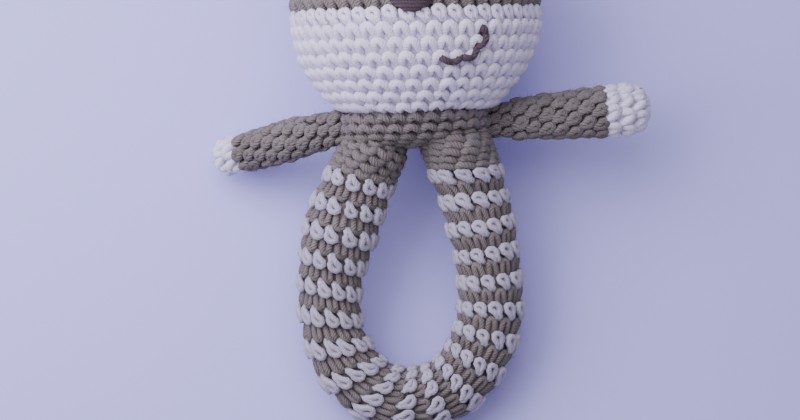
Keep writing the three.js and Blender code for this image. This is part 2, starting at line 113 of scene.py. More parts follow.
EYE_NECK = 0.42  # length of the two strands together past the eye
EYE_NECK_SHARE = 0.26  # share of the strand on each side that lies in the neck
EYE_NECK_HALF = 0.08  # from the middle of the neck to each of its two strands
EYE_NECK_POWER = 0.6  # the neck leaves the eye fast and slows down
EYE_RISE = 0.3  # how far it stands out at its neck
EYE_TUCK = 1.3  # how deep the end of the neck goes
EYE_LEAN = 0.55  # sideways past the middle of the eye, for each round
EYE_THIN = 0.15  # how much thinner the end of the neck is, as a share

# Stuffed skins under the stitches: depth below the middle of the yarn, steps round the piece and along it
FILLINGS = {
    "crown": (0.98, 72, 30),
    "muzzle": (0.385, 72, 24),
    "body": (0.42, 60, 24),
    "ring": (0.42, 28, 134),
    "paw": (0.35, 20, 20),
    "sleeve": (0.49, 20, 40),
    "ear": (0.42, 32, 14),
}
TIP_PLACE = 0.02  # where a skin starts at a closed tip, in rounds
LEAST_HALF = 0.05  # half the width of a closed tip

# Head
HEAD_RADIUS = 35.0
HEAD_LUMPS = (31, 0.35)  # length and height of the unevenness of its stuffing
REST_CUT = 0.5
NECK_RADIUS = 20.0
CROWN_ROUNDS = 14
MUZZLE_ROUNDS = 8
MUZZLE_DRIFT = -0.33
CHANGE_LATITUDE = -1.2  # degrees, where the cream begins
MUZZLE_STEP = 6.8  # degrees of latitude in a muzzle round
HEAD_ROLL = 1.6  # degrees, right side up

# Body
BODY_LENGTH = 11.5
BODY_WIDTH = 43.0
BODY_INSET = 0.72  # middle of the yarn below its outside
HIP_DEPTH = 21.0
BODY_CLOSE = 0.7  # share of its length where its underside closes between the legs
BODY_END = 0.985  # share of the way to there that its rounds go
BODY_ROUNDS = 7
BODY_STEPS = 60  # points along its outline
BODY_ROLL = 3.0
NECK_GAP = 0.3  # from the head to the top of the body
NECK_STEP = 0.3  # share of its length in a round above the neck
NECK_HIDDEN = 2  # rounds of its filling up inside the head

# Ring handle, with places along it as shares of its centreline from the right hip
TUBE_RADIUS = 10.0
RING_WIDTH = 65.2
RING_SHIFT = -1.3  # to the right of the head's centre
RING_LUMPS = (23, 0.3)
LEG_LENGTH = 43.0
FOOT_LENGTH = 28.2
LINE_STEPS = 400  # points along each leg and the foot
HIP_LIFT = 2.5
LEFT_CROTCH = 1.1  # from the middle of the toy to the inside of a leg
RIGHT_CROTCH = 1.9
STRIPE_ROUNDS = 39
STRIPE_HEIGHT = 3.87
RIGHT_STRIPE_SHIFT = -2.8  # of the stripes along the line, up to the foot
LEFT_STRIPE_SHIFT = 1.2  # and past the looser rounds at the left heel
HEEL_SHARES = (0.52, 0.74)  # where those lie, as shares of the stripes
HIP_ROUNDS = 5  # plain rounds of each leg, the last of them up over the body
HIP_HEIGHT = 2.5
RING_STITCHES = 13
CREAM_LIFT = 0.7  # how far the cream rounds stand out past the taupe ones
RING_INSET = 1.9  # middle of the yarn below the outside of the tube
LEFT_LEG_SWELL = 1.0  # fuller stuffing half way up the left leg
LEFT_LEG_FULL = (0.85, 0.1)  # the middle of that and how far it goes
LEFT_FOOT_NIP = 0.8  # thinner stuffing where the leg bends into the foot
LEFT_FOOT_THIN = (0.71, 0.09)
RIGHT_HIP_SWELL = 0.8  # how much wider than the tube the right leg is at the hip
RIGHT_HIP_RANGE = (11, 3)  # rounds from the end where that begins and is full
HIP_SWELL = 4.2  # how much deeper than the tube a leg is where it meets the body
HIP_RANGE = (7, 1)
END_ROUNDS = 2.5  # the last rounds, on the left, round in
END_CLOSE = 0.75  # how far towards a closed end
RIGHT_LEG_SHEAR = 17.0  # degrees that the rounds lie off square to the leg
RIGHT_SHEAR_END = 0.22  # where that has faded
LEFT_LEG_SHEAR = 19.0
LEFT_SHEAR_START = 0.38
LEFT_SHEAR_LENGTH = 0.5
LEFT_HIP_SHEAR = 10.0  # the other way
LEFT_HIP_LENGTH = 0.25

# Arms
SEAM_WIDTH = 11.2
SEAM_THICKNESS = 7.7
LEFT_ARM = {"length": 40.4, "forearm": 13.0, "paw": 12.0, "paw_length": 9.0, "droop": 28.0, "rounds": 14}
RIGHT_ARM = {"length": 42.3, "forearm": 14.0, "paw": 16.0, "paw_length": 14.0, "droop": 0.0, "rounds": 14}
FOREARM_FULL = 0.6  # where the forearm has its full width, as a share of the way to the paw
PAW_WIDENS = 0.5  # and where it begins to widen towards the paw
PROFILE_STEPS = 30  # points along the dome of a paw
ARM_INSET = 1.8  # middle of the yarn below the outside of an arm
ARM_TIP = 8.0  # length at its tip over which that also draws the tip in
ARM_STITCH = 3.7  # width of a stitch of a sleeve
ARM_LEAN = 0.3  # sideways lean of the paw's stitches, in stitch widths for each round
CUFF_REACH = 1.3  # how far the last cream stitches run up between the taupe ones, in rounds
SLEEVE_LIFT = 0.2  # how far the sleeve's stitches stand out
SLEEVE_EYE_HALF = 0.22  # half the width of their eyes
SLEEVE_FILLED = 0.93  # share of the arm's rounds over its filling
SEAM_BEND = 3.5  # the two points given as a sleeve's bend lie this far to each side of the seam
ROOT_TUCK = 5.0  # how far a sleeve's sewn end reaches in past the seam

# Ears
EAR_WIDTH = 19.0
EAR_DEPTH = 6.0
EAR_HOLLOW = 2.6
EAR_INSET = 0.96  # middle of the yarn below the outside of an ear
EAR_SWEEP = 0.68  # share of a half turn from the tip of an ear to the crown
EAR_ROUNDING = 0.6  # power that makes its rim full
EAR_ANGLE = 38.0
EAR_REACH = 2.5
EAR_ROUNDS = 4

# Embroidered face, as places across and along the face
NOSE_SIDE = -1.1
NOSE_RISE = 4.6
NOSE_WIDTH = 14.0
NOSE_HEIGHT = 10.0
NOSE_STRANDS = 13
NOSE_STEPS = 13  # points along a strand
NOSE_STRAND_RADIUS = 0.72
NOSE_END = 0.94  # share of the height from the middle to its last strand
NOSE_FULLNESS = 0.8  # power that squares its sides
NOSE_TAPER = 0.12  # how much wider its top is than its middle, as a share
NOSE_BOW = 0.5  # how far the outer strands bow
NOSE_LIFT = 1.5
NOSE_TUCK = 0.7  # how deep the ends of its strands go
KNOT_SPACING = 24.0
KNOT_LEVEL = 10.0
KNOT_RADIUS = 2.3
KNOT_TURNS = 3
KNOT_STEPS = 40
KNOT_NARROWS = 0.85  # share of its radius that the coil loses
KNOT_LIFT = 0.4
KNOT_TUCK = 1.3  # how deep its first end goes
KNOT_TUCK_TURN = 0.6  # in radians, how soon that end is out
SMILE_HOLES = [
    (6.6, -13.1),
    (9.7, -14.7),
    (12.4, -13.2),
    (15.2, -13.4),
    (16.4, -10.6),
    (18.6, -9.0),
    (18.8, -6.8),
    (17.7, -4.9),
]
SMILE_STEPS = 9
SMILE_OVERLAP = 0.12  # how far a backstitch runs past its holes, as a share
SMILE_LIFT = 0.55
SMILE_TUCK = 1.6  # how deep its ends go
EMBROIDERY_RADIUS = 1.0

# Colours, linear
TAUPE = (0.195, 0.167, 0.164)
CREAM = (0.71, 0.65, 0.82)
BROWN = (0.085, 0.055, 0.075)
RING_SHADE_SHARE = 0.6  # painted shade: the ring's cream darkened to this share, for the weaker light on the ring
BALL_COLOUR = (0.81, 0.8, 0.76)
BEAD_COLOUR = (0.58, 0.35, 0.145)
LIGHT_COLOUR = (0.9, 0.88, 1.0)
FLOOR_COLOUR = (0.53, 0.5, 1.0)

# Finishes: the yarn's tone from dark to light starts at a value, and each of its marks adds to it
TONE_START = -0.25
STITCH_TONE = 0.06
# painted shade in the grooves between the plies: the tone falls where they meet
PLY_GROOVE_SHADE = 0.24
FIBRE_TONE = 0.9
CLOUD_TONE = 0.4
LIGHT_SHARE = 0.8  # of the contrast, on the light side
PLY_BUMP = 0.0006  # metres, at full contrast
FIBRE_BUMP = 0.6  # as a share of the plies
FIBRE_STRETCH = (14, 1.1, 1)  # close across the strand, long along it
YARN_ROUGHNESS = 0.82
FIBRE_ROUGHNESS = 0.15  # added to it by the fibre
FILLING_SHARES = (0.6, 1.2)  # darkest and lightest of a filling, as shares of its yarn's colour
MOTTLE_SHARES = (0.92, 1.06)  # and of the plastic
MOTTLE_ROUGHNESS = 0.12

# Stage, in metres and degrees
FLOOR_HALF = 3.0
CAMERA_TARGET = Vector((-0.008, -0.0114, 0))
CAMERA_ELEVATION = 80
CAMERA_DISTANCE = 0.7
CAMERA_LENS = 109
KEY_LIGHT = {"place": (-0.28, 0.07, 0.28), "size": 0.4, "power": 1.9}
FILL_LIGHT = {"place": (-0.05, 0.09, 0.27), "size": 0.26, "power": 0.62}
SKY_STRENGTH = 0.5

BODY_TOP = -math.sqrt(HEAD_RADIUS**2 - NECK_RADIUS**2) - NECK_GAP
HIP_LEVEL = BODY_TOP - BODY_LENGTH + HIP_LIFT
WIDEST_LEVEL = HIP_LEVEL - LEG_LENGTH
RING_ROUNDS = 2 * HIP_ROUNDS + STRIPE_ROUNDS
BODY_SHARES = np.linspace(0, BODY_END * BODY_CLOSE, BODY_STEPS)
joints = {joint["name"]: joint for joint in frame["joints"]}
mounts = {mount["name"]: mount for mount in frame["record"]["mounts"]}


# Toy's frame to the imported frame

_, axis_y, axis_z = joints["left_arm_swing"]["axis"]
TILT = math.atan2(axis_z, axis_y)
TURN = np.array([[1, 0, 0], [0, math.cos(TILT), -math.sin(TILT)], [0, math.sin(TILT), math.cos(TILT)]])
HEAD_CENTRE = np.array([*mounts["head_rest"]["pos_m"][:2], (HEAD_RADIUS - REST_CUT) / 1000])


def to_frame(points):
    """Toy millimetres to frame metres: turn by the tilt, scale, and move to the head's centre."""
    return np.asarray(points, float) @ TURN.T / 1000 + HEAD_CENTRE


def to_toy(points):
    """Frame metres to toy millimetres, the other way round."""
    return (np.asarray(points, float) - HEAD_CENTRE) * 1000 @ TURN


def unit(vectors):
    """Vectors over the last axis, scaled to length one."""
    return vectors / np.maximum(np.linalg.norm(vectors, axis=-1, keepdims=True), 1e-9)


def smooth_step(low, high, values):
    """Cubic ease from 0 at low to 1 at high."""
    share = np.clip((values - low) / (high - low), 0, 1)
    return share * share * (3 - 2 * share)


def bell(values, middle, width):
    """Smooth bump of height one: the exponential of minus the square of the distance over the width."""
    return np.exp(-(((values - middle) / width) ** 2))


def rolled(points, degrees):
    """Points turned about the toy's Z axis, right side up for a positive angle."""
    angle = math.radians(degrees)
    cosine = math.cos(angle)
    sine = math.sin(angle)
    x, y, z = np.moveaxis(points, -1, 0)
    return np.stack([x * cosine - y * sine, x * sine + y * cosine, z], -1)


def lumps(points, size, height):
    """Hand-stuffed unevenness: a sum of three sine waves across the point, of a wavelength and a height."""
    x, y, z = np.moveaxis(points * (2 * math.pi / size), -1, 0)
    waves = np.sin(x + 0.7 * z) + np.sin(1.3 * y - 0.6 * x + 1.0) + np.sin(1.1 * z + 0.8 * y + 2.0)
    return height * waves / 3


def even_angle(turns, wide, deep):
    """Angle round an ellipse for a turn from its front, so that equal turns are about equally long: the plain
    angle less a sine of twice the angle, by half the share that the width exceeds the depth."""
    angle = 2 * np.pi * turns
    return angle - (wide - deep) / (wide + deep) / 2 * np.sin(2 * angle)


# Surfaces: turns and rounds to points, all on the middle of the yarn


def head_surface(turns, rounds):
    """Ball of the head: latitude falls evenly with the rounds, from the crown over the colour change to the
    neck, and the turn counts from the face to the right."""
    crown = 90 - rounds * ((90 - CHANGE_LATITUDE) / CROWN_ROUNDS)
    muzzle = CHANGE_LATITUDE - (rounds - CROWN_ROUNDS) * MUZZLE_STEP
    latitude = np.radians(np.where(rounds < CROWN_ROUNDS, crown, muzzle))
    angle = 2 * np.pi * turns
    from_axis = np.cos(latitude)
    out = np.stack([from_axis * np.sin(angle), np.sin(latitude), from_axis * np.cos(angle)], -1)
    radius = HEAD_RADIUS - YARN_RADIUS + lumps(out * HEAD_RADIUS, *HEAD_LUMPS)
    return rolled(out * radius[..., None], HEAD_ROLL)


def body_halves(share):
    """Half width and half depth of the body at a share of its length: it widens from the neck by a sine,
    flattens evenly towards the legs and rounds in underneath by the root of one less a sixth power."""
    fullness = np.sqrt(1 - np.minimum(share / BODY_CLOSE, 1) ** 6)
    widen = np.sin(np.minimum(1, 2 * share) * (np.pi / 2))
    width = fullness * (NECK_RADIUS + (BODY_WIDTH / 2 - NECK_RADIUS) * widen)
    depth = fullness * (NECK_RADIUS + (HIP_DEPTH / 2 - NECK_RADIUS) * share)
    return width, depth


def body_surface(turns, rounds):
    """Body: ellipses down from the neck, spaced evenly along the slope of the sides, rising to the right."""
    width, depth = body_halves(BODY_SHARES)
    slope = np.hypot(np.diff(BODY_SHARES * BODY_LENGTH), np.diff((width + depth) / 2))
    along = np.concatenate([[0], np.cumsum(slope)])
    share = np.interp(np.clip(rounds / BODY_ROUNDS, 0, 1) * along[-1], along, BODY_SHARES)
    share = share + np.minimum(rounds, 0) * NECK_STEP
    width, depth = body_halves(np.maximum(share, 0))
    angle = even_angle(turns, width, depth)
    across = (width - BODY_INSET) * np.sin(angle)
    out = (depth - BODY_INSET) * np.cos(angle)
    level = BODY_TOP - share * BODY_LENGTH
    return rolled(np.stack([across, level, out], -1) - [0, BODY_TOP, 0], BODY_ROLL) + [0, BODY_TOP, 0]


def ring_line():
    """Centreline of the ring from the right hip down, round the foot and up to the left hip, with its length
    at each point: quarter cosines for the legs and half an ellipse for the foot."""
    half = RING_WIDTH / 2 - TUBE_RADIUS
    share = np.linspace(0, 1, LINE_STEPS)
    turn = -np.pi * share
    foot = np.stack([RING_SHIFT + half * np.cos(turn), WIDEST_LEVEL + FOOT_LENGTH * np.sin(turn)], -1)
    legs = []
    for side, crotch in ((1, RIGHT_CROTCH), (-1, LEFT_CROTCH)):
        hip = TUBE_RADIUS + crotch - side * RING_SHIFT
        out = half - (half - hip) * (1 - np.cos(np.pi / 2 * share))
        legs.append(np.stack([RING_SHIFT + side * out, WIDEST_LEVEL + LEG_LENGTH * share], -1))
    line = np.concatenate([legs[0][::-1], foot[1:-1], legs[1]])
    length = np.concatenate([[0], np.cumsum(np.linalg.norm(np.diff(line, axis=0), axis=1))])
    return line, length


RING_LINE, RING_LENGTHS = ring_line()
RING_TANGENTS = unit(np.gradient(RING_LINE, RING_LENGTHS, axis=0))


def ring_place(rounds):
    """Distance along the ring's centreline of a round: the stripes lie evenly but for looser ones at the left
    heel, and the lower plain rounds at each hip run on past the line's ends."""
    middle = RING_LENGTHS[-1] / 2
    knots = HIP_ROUNDS + STRIPE_ROUNDS * np.array([0, *HEEL_SHARES, 1])
    stripes = middle + (knots - RING_ROUNDS / 2) * STRIPE_HEIGHT
    stripes = stripes + np.repeat([RIGHT_STRIPE_SHIFT, LEFT_STRIPE_SHIFT], 2)
    reach = STRIPE_ROUNDS * STRIPE_HEIGHT / 2 + HIP_ROUNDS * HIP_HEIGHT
    return np.interp(rounds, [0, *knots, RING_ROUNDS], [middle - reach, *stripes, middle + reach])


def ring_slope(share):
    """Slope of the rounds off square to the ring: a squared cosine that fades down the right leg, a squared
    sine over the left leg, and a squared cosine the other way that fades down from the left hip."""
    right = np.cos(np.pi / 2 * np.clip(share / RIGHT_SHEAR_END, 0, 1)) ** 2
    left = np.sin(np.pi * np.clip((share - LEFT_SHEAR_START) / LEFT_SHEAR_LENGTH, 0, 1)) ** 2
    hip = np.cos(np.pi / 2 * np.clip((1 - share) / LEFT_HIP_LENGTH, 0, 1)) ** 2
    slopes = np.tan(np.radians([RIGHT_LEG_SHEAR, LEFT_LEG_SHEAR, LEFT_HIP_SHEAR]))
    return right * slopes[0] + left * slopes[1] - hip * slopes[2]


def ring_surface(turns, rounds):
    """Ring: circles about the centreline, each tilted in the toy's plane by the slope of its round, and a
    little unevenly stuffed. It runs straight on past the hips and deepens there to meet the body. Its last
    end, on the left, rounds in."""
    at = ring_place(rounds)
    share = at / RING_LENGTHS[-1]
    on_line = np.clip(at, 0, RING_LENGTHS[-1])
    centre = np.stack([np.interp(on_line, RING_LENGTHS, RING_LINE[:, axis]) for axis in (0, 1)], -1)
    tangent = np.stack([np.interp(on_line, RING_LENGTHS, RING_TANGENTS[:, axis]) for axis in (0, 1)], -1)
    centre = centre + tangent * (at - on_line)[..., None]
    side = np.stack([-tangent[..., 1], tangent[..., 0]], -1) + tangent * ring_slope(share)[..., None]
    middle = np.concatenate([centre, np.zeros_like(at)[..., None]], -1)
    ending = np.clip((rounds - RING_ROUNDS + END_ROUNDS) / END_ROUNDS, 0, 1)
    close = np.sqrt(1 - (END_CLOSE * ending) ** 2)
    uneven = LEFT_LEG_SWELL * bell(share, *LEFT_LEG_FULL) - LEFT_FOOT_NIP * bell(share, *LEFT_FOOT_THIN)
    radius = (TUBE_RADIUS - RING_INSET + uneven + lumps(middle, *RING_LUMPS)) * close
    radius = radius + RIGHT_HIP_SWELL * smooth_step(*RIGHT_HIP_RANGE, rounds)
    to_hip = np.minimum(rounds, RING_ROUNDS - rounds)
    depth = radius + HIP_SWELL * smooth_step(*HIP_RANGE, to_hip) * close
    angle = even_angle(turns, radius, depth)
    flat = centre + side * (radius * np.sin(angle))[..., None]
    return np.concatenate([flat, (depth * np.cos(angle))[..., None]], -1)


def arm_profile(arm):
    """Length along the outline of an arm from the tip of the paw to the sewn end, and the distance out, half
    height and half depth there: a dome, a forearm that swells, and a flattened end that runs in past the
    seam."""
    dome = arm["paw"] / 2
    dome_start = arm["length"] - dome
    tip = dome_start + dome * np.cos(np.linspace(0, np.pi / 2, PROFILE_STEPS))
    out = np.concatenate([tip, np.linspace(dome_start, 0, 2 * PROFILE_STEPS)[1:]])
    change = arm["length"] - arm["paw_length"]
    swell = np.sin(np.pi / 2 * np.clip(out / (FOREARM_FULL * change), 0, 1))
    to_paw = smooth_step(PAW_WIDENS * change, dome_start, out)
    full = arm["forearm"] / 2 + (arm["paw"] - arm["forearm"]) / 2 * to_paw
    close = np.sqrt(np.maximum(0, 1 - (np.maximum(0, out - dome_start) / dome) ** 2))
    height = close * (SEAM_WIDTH / 2 + (full - SEAM_WIDTH / 2) * swell)
    depth = close * (SEAM_THICKNESS / 2 + (full - SEAM_THICKNESS / 2) * swell)
    out = np.append(out, -ROOT_TUCK)
    height = np.append(height, height[-1])
    depth = np.append(depth, depth[-1])
    along = np.concatenate([[0], np.cumsum(np.hypot(np.diff(out), np.diff((height + depth) / 2)))])
    return along, out, height, depth


def arm_frame(arm, name):
    """Seam's centre and the directions out along the arm, along the seam and forward, in the toy's frame."""
    joint = joints[name + "_arm_swing"]
    seam = -np.array(joint["axis"], float) @ TURN
    straight = np.cross(seam, [0, 0, 1])
    droop = math.radians(arm["droop"])
    out = straight * math.cos(droop) - np.array([0, 0, math.sin(droop)])
    return to_toy(joint["pos_m"]), out, seam, np.cross(out, seam)


def arm_surface(arm, name):
    """Arm: ellipses across the outline of its profile, from the tip of the paw to the seam."""
    along, outs, heights, depths = arm_profile(arm)
    seam_centre, out_way, seam_way, front_way = arm_frame(arm, name)

    def surface(turns, rounds):
        at = np.clip(rounds / arm["rounds"], 0, 1) * along[-1]
        height = np.maximum(np.interp(at, along, heights) - ARM_INSET, LEAST_HALF)
        depth = np.maximum(np.interp(at, along, depths) - ARM_INSET, LEAST_HALF)
        angle = even_angle(turns, height, depth)
        out = np.interp(at, along, outs) - ARM_INSET * (1 - smooth_step(0, ARM_TIP, at))
        return (
            seam_centre
            + out[..., None] * out_way
            - (height * np.sin(angle))[..., None] * seam_way
            + (depth * np.cos(angle))[..., None] * front_way
        )

    return surface


def ear_surface(side):
    """Ear: a flattened thimble from its tip down to the crown, with its front drawn in."""
    lean = math.radians(EAR_ANGLE)
    up = np.array([side * math.sin(lean), math.cos(lean), 0])
    across = np.array([math.cos(lean), -side * math.sin(lean), 0])
    centre = up * (HEAD_RADIUS + EAR_REACH)

    def surface(turns, rounds):
        angle = np.pi * np.clip(rounds / EAR_ROUNDS, 0, 1) * EAR_SWEEP
        half = EAR_WIDTH / 2 - EAR_INSET
        width = half * np.sin(angle) + LEAST_HALF
        depth = (EAR_DEPTH / 2 - EAR_INSET / 2) * np.sin(angle) ** EAR_ROUNDING + LEAST_HALF
        turn = even_angle(turns, width, depth)
        front = np.maximum(np.cos(turn), 0)
        out = depth * np.cos(turn) - EAR_HOLLOW * front**2 * np.sin(angle) ** 2
        return (
            centre
            + (half * np.cos(angle))[..., None] * up
            + (width * np.sin(turn))[..., None] * across
            + out[..., None] * np.array([0, 0, 1.0])
        )

    return surface


def normals_of(surface, turns, rounds):
    """Outward unit normals of a surface, from its slopes over a small step of turn and of round."""
    step = 1e-3
    over_turn = surface(turns + step, rounds) - surface(turns - step, rounds)
    over_round = surface(turns, rounds + 10 * step) - surface(turns, rounds - 10 * step)
    return unit(np.cross(over_round, over_turn))


# Meshes


def add_mesh(name, points, sizes, corners, uv=None, shade=None):
    """Object from toy points, the corner count of each face and the corners' point numbers. What would sink
    into the surface that the toy lies on is pressed flat."""
    placed = to_frame(points)
    placed[:, 2] = np.maximum(placed[:, 2], 0.0)
    mesh = bpy.data.meshes.new(name)
    mesh.vertices.add(len(placed))
    mesh.vertices.foreach_set("co", placed.astype(np.float32).ravel())
    mesh.loops.add(len(corners))
    mesh.loops.foreach_set("vertex_index", np.asarray(corners, np.int32))
    mesh.polygons.add(len(sizes))
    starts = np.concatenate([[0], np.cumsum(sizes)[:-1]])
    mesh.polygons.foreach_set("loop_start", starts.astype(np.int32))
    mesh.polygons.foreach_set("use_smooth", np.full(len(sizes), True))
    if uv is not None:
        layer = mesh.uv_layers.new(name="yarn")
        layer.data.foreach_set("uv", np.asarray(uv, np.float32).ravel())
    if shade is not None:
        attribute = mesh.attributes.new("shade", "FLOAT", "POINT")
        attribute.data.foreach_set("value", np.asarray(shade, np.float32))
    mesh.update(calc_edges=True)
    mesh.validate()
    obj = bpy.data.objects.new(name, mesh)
    bpy.context.scene.collection.objects.link(obj)
    return obj


def yarn_mesh(name, paths, ups, radii, shades, fibres=0):
    """Strands of yarn: a circle of points carried along each path, facing the path's up direction, with both
    ends closed. The map runs once round the strand across and counts millimetres along it upwards.
    paths and ups are (strands, steps, 3), radii (strands, steps) and shades (strands). Loose fibres stand out
    of the upper half of each strand, so many to a strand."""
    strands, steps, _ = paths.shape
    tangent = unit(np.gradient(paths, axis=1))
    side = unit(np.cross(tangent, ups))
    up = np.cross(side, tangent)
    angle = 2 * np.pi * np.arange(YARN_SIDES) / YARN_SIDES
    ring = np.cos(angle)[:, None] * side[:, :, None] + np.sin(angle)[:, None] * up[:, :, None]
    points = (paths[:, :, None] + ring * radii[:, :, None, None]).reshape(-1, 3)

    number = np.arange(strands * steps * YARN_SIDES).reshape(strands, steps, YARN_SIDES)
    following = np.roll(number, -1, axis=2)
    quads = np.stack([number[:, :-1], number[:, 1:], following[:, 1:], following[:, :-1]], -1)
    ends = np.concatenate([number[:, 0], number[:, -1, ::-1]])
    corners = np.concatenate([quads.ravel(), ends.ravel()])
    sizes = np.concatenate([np.full(quads.size // 4, 4), np.full(len(ends), YARN_SIDES)])

    walked = np.linalg.norm(np.diff(paths, axis=1), axis=2).cumsum(1)
    walked = np.concatenate([np.zeros((strands, 1)), walked], 1) + PLY_START * random.random((strands, 1))
    around = np.arange(YARN_SIDES + 1) / YARN_SIDES
    low = np.broadcast_to(walked[:, :-1, None], quads.shape[:3])
    high = np.broadcast_to(walked[:, 1:, None], quads.shape[:3])
    here = np.broadcast_to(around[:-1], quads.shape[:3])
    there = np.broadcast_to(around[1:], quads.shape[:3])
    across = np.stack([here, here, there, there], -1)
    along = np.stack([low, high, high, low], -1)
    uv = np.stack([across.ravel(), along.ravel()], -1)
    end_across = np.tile(around[:-1], len(ends))
    end_along = np.repeat(np.concatenate([walked[:, 0], walked[:, -1]]), YARN_SIDES)
    uv = np.concatenate([uv, np.stack([end_across, end_along], -1)])
    shade = np.repeat(shades, steps * YARN_SIDES)
    if fibres:
        strand = np.repeat(np.arange(strands), fibres)
        step = random.integers(1, steps - 1, len(strand))
        turn = np.pi * random.random(len(strand))[:, None]
        out = np.cos(turn) * side[strand, step] + np.sin(turn) * up[strand, step]
        start = paths[strand, step] + out * radii[strand, step, None] * FIBRE_ROOT
        more, more_sizes, more_corners = loose_fibres(start, out, len(points))
        points = np.concatenate([points, more])
        sizes = np.concatenate([sizes, more_sizes])
        corners = np.concatenate([corners, more_corners])
        uv = np.concatenate([uv, np.zeros((len(more_corners), 2))])
        shade = np.concatenate([shade, np.full(len(more), FIBRE_SHADE)])
    return add_mesh(name, points, sizes, corners, uv, shade)


def loose_fibres(starts, outs, first):
    """Loose fibre ends: each a bent three-sided needle from a point on the yarn, closed at its root and
    pointed at its tip. starts and outs are (fibres, 3). Returns points, corner counts and corners numbered
    from first."""
    count = len(starts)
    way = unit(outs + random.normal(0, 1, (count, 3)))
    bend = random.normal(0, 1, (count, 3))
    length = FIBRE_LENGTH * random.uniform(*FIBRE_RANGE, (count, 1))
    side = unit(np.cross(way, random.normal(0, 1, (count, 3))))
    other = np.cross(way, side)
    angle = 2 * np.pi * np.arange(3) / 3
    ring = FIBRE_RADIUS * (np.cos(angle)[:, None] * side[:, None] + np.sin(angle)[:, None] * other[:, None])
    root = starts[:, None] + ring
    middle = (starts + way * length / 2)[:, None] + ring * FIBRE_TAPER
    tip = (starts + (way + bend * FIBRE_BEND) * length)[:, None]
    points = np.concatenate([root, middle, tip], 1)
    number = first + points.shape[1] * np.arange(count)[:, None]
    sides = np.stack([number + four for four in ([0, 1, 4, 3], [1, 2, 5, 4], [2, 0, 3, 5])], 1)
    ends = np.stack([number + three for three in ([2, 1, 0], [3, 4, 6], [4, 5, 6], [5, 3, 6])], 1)
    corners = np.concatenate([sides.ravel(), ends.ravel()])
    sizes = np.concatenate([np.full(3 * count, 4), np.full(4 * count, 3)])
    return points.reshape(-1, 3), sizes, corners


def skin_mesh(name, surface, first, last, piece):
    """Closed skin of a piece's filling, a depth below its surface, from the first round to the last, with a
    fan closing each end."""
    depth, turn_steps, round_steps = FILLINGS[piece]
    turns, rounds = np.meshgrid(np.arange(turn_steps) / turn_steps, np.linspace(first, last, round_steps))
    grid = surface(turns, rounds) - depth * normals_of(surface, turns, rounds)
    poles = [grid[0].mean(0), grid[-1].mean(0)]
    points = np.concatenate([grid.reshape(-1, 3), poles])
    number = np.arange(turn_steps * round_steps).reshape(round_steps, turn_steps)
    following = np.roll(number, -1, axis=1)
    quads = np.stack([number[:-1], number[1:], following[1:], following[:-1]], -1)
    top = np.stack([np.full(turn_steps, len(points) - 2), number[0], following[0]], -1)
    foot = np.stack([np.full(turn_steps, len(points) - 1), following[-1], number[-1]], -1)
    corners = np.concatenate([quads.ravel(), top.ravel(), foot.ravel()])
    sizes = np.concatenate([np.full(quads.size // 4, 4), np.full(2 * turn_steps, 3)])
    return add_mesh(name, points, sizes, corners)


# Stitches


def arch_loop(radius, lean=ARCH_LEAN, spread=ARCH_SPREAD, root=ARCH_ROOT, length=ARCH_REACH, apex=ARCH_APEX):
    """One stitch of a close round as rows of places across, along and out, and radii: two legs that part from
    a full round top, spreading by a root of the distance along the strand, with feet tucked under the next
    round."""
    along = np.linspace(-1, 1, LOOP_STEPS)
    far = np.abs(along)
    reach = -apex + length * far**ARCH_POWER
    across = spread * np.sign(along) * far**root + lean * reach
    height = ARCH_TOP * (1 - far) ** 2 + ARCH_RISE * np.sin(np.pi * far) - ARCH_TUCK * far**2
    return np.stack([across, reach, height, radius * (1 - ARCH_THIN * far**2)])


def ridge_loop():
    """A low, wide arch, so that its round reads as a ridge."""
    return arch_loop(CLOSE_RADIUS, ARCH_LEAN, RIDGE_SPREAD, RIDGE_ROOT, RIDGE_REACH)


def bar_loop():
    """A tall, narrow arch from between the necks of the round before, so that its legs read as two bars."""
    loop = arch_loop(BAR_RADIUS, BAR_LEAN, BAR_SPREAD, BAR_ROOT, ARCH_REACH + BAR_APEX, BAR_APEX)
    loop[0] += BAR_SHIFT
    return loop


def eye_loop(radius, lift=0.0, half=EYE_HALF):
    """One stitch of a round with open eyes, in the same rows: a strand comes up its neck, round an oval eye
    and back down the neck, leaning to one side, and the end of the neck dives under."""
    along = np.linspace(-1, 1, LOOP_STEPS)
    far = np.abs(along)
    eye = np.pi * np.minimum(1, far / (1 - EYE_NECK_SHARE))
    neck = np.maximum(0, far - 1 + EYE_NECK_SHARE) / EYE_NECK_SHARE
    reach = -EYE_APEX + EYE_HEIGHT * (1 - np.cos(eye)) / 2 + EYE_NECK * neck**EYE_NECK_POWER
    lean = EYE_LEAN * np.maximum(0, reach + EYE_APEX - EYE_HEIGHT / 2)
    across = np.sign(along) * np.maximum(half * np.sin(eye), EYE_NECK_HALF * far) + lean
    height = lift + EYE_RISE * np.sin(eye / 2) - EYE_TUCK * neck**4
    return np.stack([across, reach, height, radius * (1 - EYE_THIN * far**4)])


